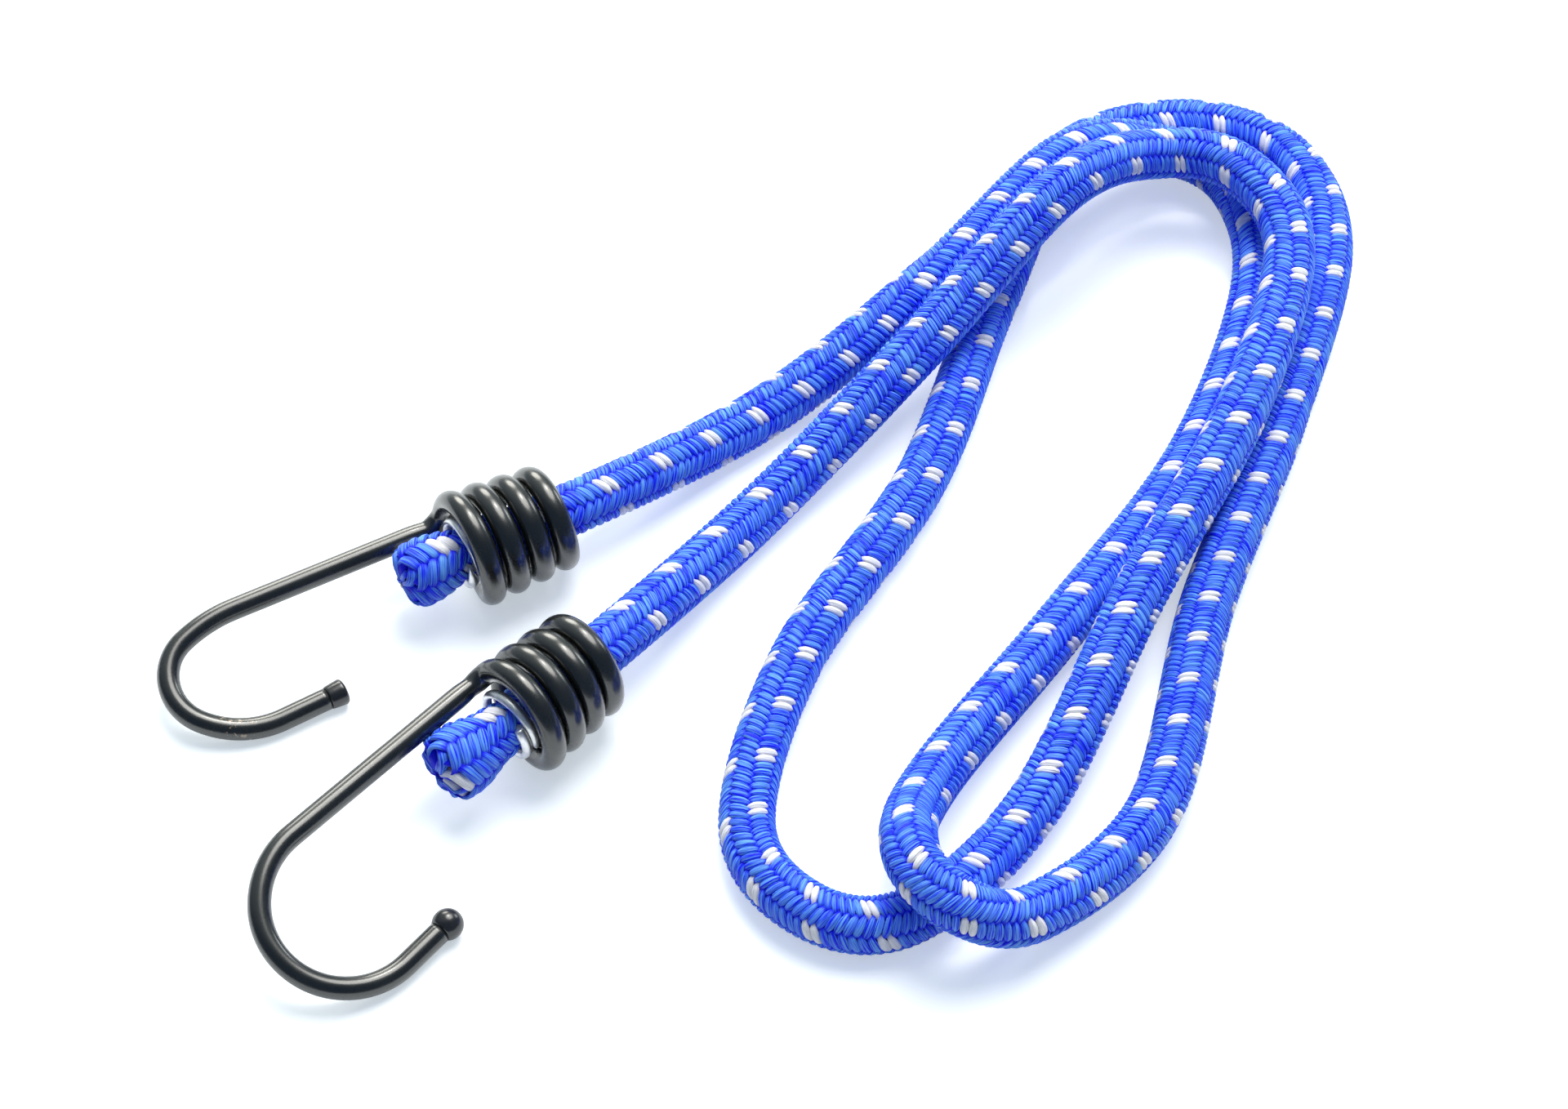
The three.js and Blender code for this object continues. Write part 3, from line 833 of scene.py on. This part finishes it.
def tip(name, body, node, profile, end, outward):
    """A profile of (radius, distance beyond the wire's end) in millimetres, spun round."""
    shape = bmesh.new()
    corners = [shape.verts.new((radius / 1000, 0, beyond / 1000)) for radius, beyond in profile]
    edges = [shape.edges.new(pair) for pair in zip(corners, corners[1:])]
    bmesh.ops.spin(
        shape, geom=corners + edges, cent=(0, 0, 0), axis=(0, 0, 1), dvec=(0, 0, 0),
        angle=2 * math.pi, steps=tip_sides, use_merge=True, use_duplicate=False,
    )
    bmesh.ops.remove_doubles(shape, verts=shape.verts, dist=0.000001)
    bmesh.ops.recalc_face_normals(shape, faces=shape.faces)
    turn = Vector(outward).to_track_quat("Z", "Y").to_matrix().to_4x4()
    bmesh.ops.transform(shape, matrix=Matrix.Translation(end) @ turn, verts=shape.verts)
    for face in shape.faces:
        face.smooth = True
    piece = added(name, mesh_of(name, shape))
    piece.data.materials.append(tip_plastic)
    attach(piece, body)
    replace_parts(piece, node)


cap_radius = 1.9
cap_edge = 0.55
cap_edge_start = 2.15
cap_end = 2.7
cap_edge_points = 7
cap_profile = [
    (0, tip_gap), (wire_end_radius, tip_gap), (1.69, 0.12), (1.72, 0.3), (1.8, 1), (1.88, 1.9),
]
cap_profile += [
    (cap_radius - cap_edge * (1 - math.cos(turn)), cap_edge_start + cap_edge * math.sin(turn))
    for turn in np.linspace(0, math.pi / 2, cap_edge_points)
]
tip("tip_cap_a", "hook_a", "hook_a_tip_cap", [*cap_profile, (0, cap_end)], end_a, out_a)

ball_radius = 2.2
ball_points = 20
ball_start = math.asin(wire_end_radius / ball_radius)
ball_profile = [
    (ball_radius * math.sin(turn), tip_gap + ball_radius * (math.cos(ball_start) - math.cos(turn)))
    for turn in np.linspace(ball_start, math.pi, ball_points)[:-1]
]
ball_end = tip_gap + ball_radius * (math.cos(ball_start) + 1)
ball_profile = [(0, tip_gap), *ball_profile, (0, ball_end)]
tip("tip_ball_b", "hook_b", "hook_b_tip_ball", ball_profile, end_b, out_b)


# The studio: a pale floor that shows as white where nothing shades it, a light wall behind the
# cord, a darker room on the camera's side, and four round lamps, all at a plain level.
floor_shape = bmesh.new()
bmesh.ops.create_grid(floor_shape, x_segments=1, y_segments=1, size=3)
floor = added("floor", mesh_of("floor", floor_shape))

pale_floor, tree, shader = finish_of("pale_floor")
mottle = noise_over(tree, object_place(tree), {"Scale": 30})
pale = ramp_of(tree, mottle, (0.80, 0.81, 0.82), (0.84, 0.85, 0.86))
tree.links.new(pale, shader.inputs["Base Color"])
fill_in(shader, {"Roughness": 0.9, "Specular IOR Level": 0.1})
glow = tree.nodes.new("ShaderNodeEmission")
fill_in(glow, {"Color": (0.9, 0.97, 1, 1), "Strength": 0.52})
seen = tree.nodes.new("ShaderNodeLightPath")
either = tree.nodes.new("ShaderNodeMath")
either.operation = "MAXIMUM"
tree.links.new(seen.outputs["Is Camera Ray"], either.inputs[0])
tree.links.new(seen.outputs["Is Glossy Ray"], either.inputs[1])
lit = tree.nodes.new("ShaderNodeAddShader")
tree.links.new(shader.outputs["BSDF"], lit.inputs[0])
tree.links.new(glow.outputs["Emission"], lit.inputs[1])
choice = tree.nodes.new("ShaderNodeMixShader")
tree.links.new(either.outputs["Value"], choice.inputs["Fac"])
tree.links.new(shader.outputs["BSDF"], choice.inputs[1])
tree.links.new(lit.outputs["Shader"], choice.inputs[2])
tree.links.new(choice.outputs["Shader"], tree.nodes["Material Output"].inputs["Surface"])
floor.data.materials.append(pale_floor)

world = bpy.data.worlds.new("studio")
world.use_nodes = True
bpy.context.scene.world = world
tree = world.node_tree
room = tree.nodes["Background"]
room.inputs["Strength"].default_value = 1
towards = tree.nodes.new("ShaderNodeTexCoord")
backwards = tree.nodes.new("ShaderNodeVectorMath")
backwards.operation = "DOT_PRODUCT"
backwards.inputs[1].default_value = (0.35, 0.65, 0.67)
tree.links.new(towards.outputs["Generated"], backwards.inputs[0])
wall = ramp_of(tree, backwards.outputs["Value"], (0.1, 0.15, 0.24), (0.6, 0.7, 0.74), 0.3, 0.95)
tree.links.new(wall, room.inputs["Color"])
backdrop = tree.nodes.new("ShaderNodeBackground")
fill_in(backdrop, {"Color": (1, 1, 1, 1), "Strength": 1})
seen = tree.nodes.new("ShaderNodeLightPath")
choice = tree.nodes.new("ShaderNodeMixShader")
tree.links.new(seen.outputs["Is Camera Ray"], choice.inputs["Fac"])
tree.links.new(room.outputs["Background"], choice.inputs[1])
tree.links.new(backdrop.outputs["Background"], choice.inputs[2])
tree.links.new(choice.outputs["Shader"], tree.nodes["World Output"].inputs["Surface"])

lamps_aim = Vector((0.05, 0, 0))


def lamp(name, place, size, power, colour):
    """A round lamp that faces the middle of the object."""
    data = bpy.data.lights.new(name, "AREA")
    data.shape = "DISK"
    data.size = size
    data.energy = power
    data.color = colour
    added(name, data).matrix_world = looking(place, lamps_aim - Vector(place))


lamp("ceiling", (0.5, 0.2, 1.1), 0.9, 13.5, (1, 0.98, 0.93))
lamp("window", (0.5, 1.05, 0.6), 0.6, 8, (1, 0.97, 0.88))
lamp("spot", (0.5, 0.4, 1.1), 0.2, 2.6, (1, 0.97, 0.9))
lamp("side", (1.15, 0.05, 0.4), 0.35, 1.8, (0.95, 1, 1))

bpy.context.scene.view_settings.view_transform = "Standard"
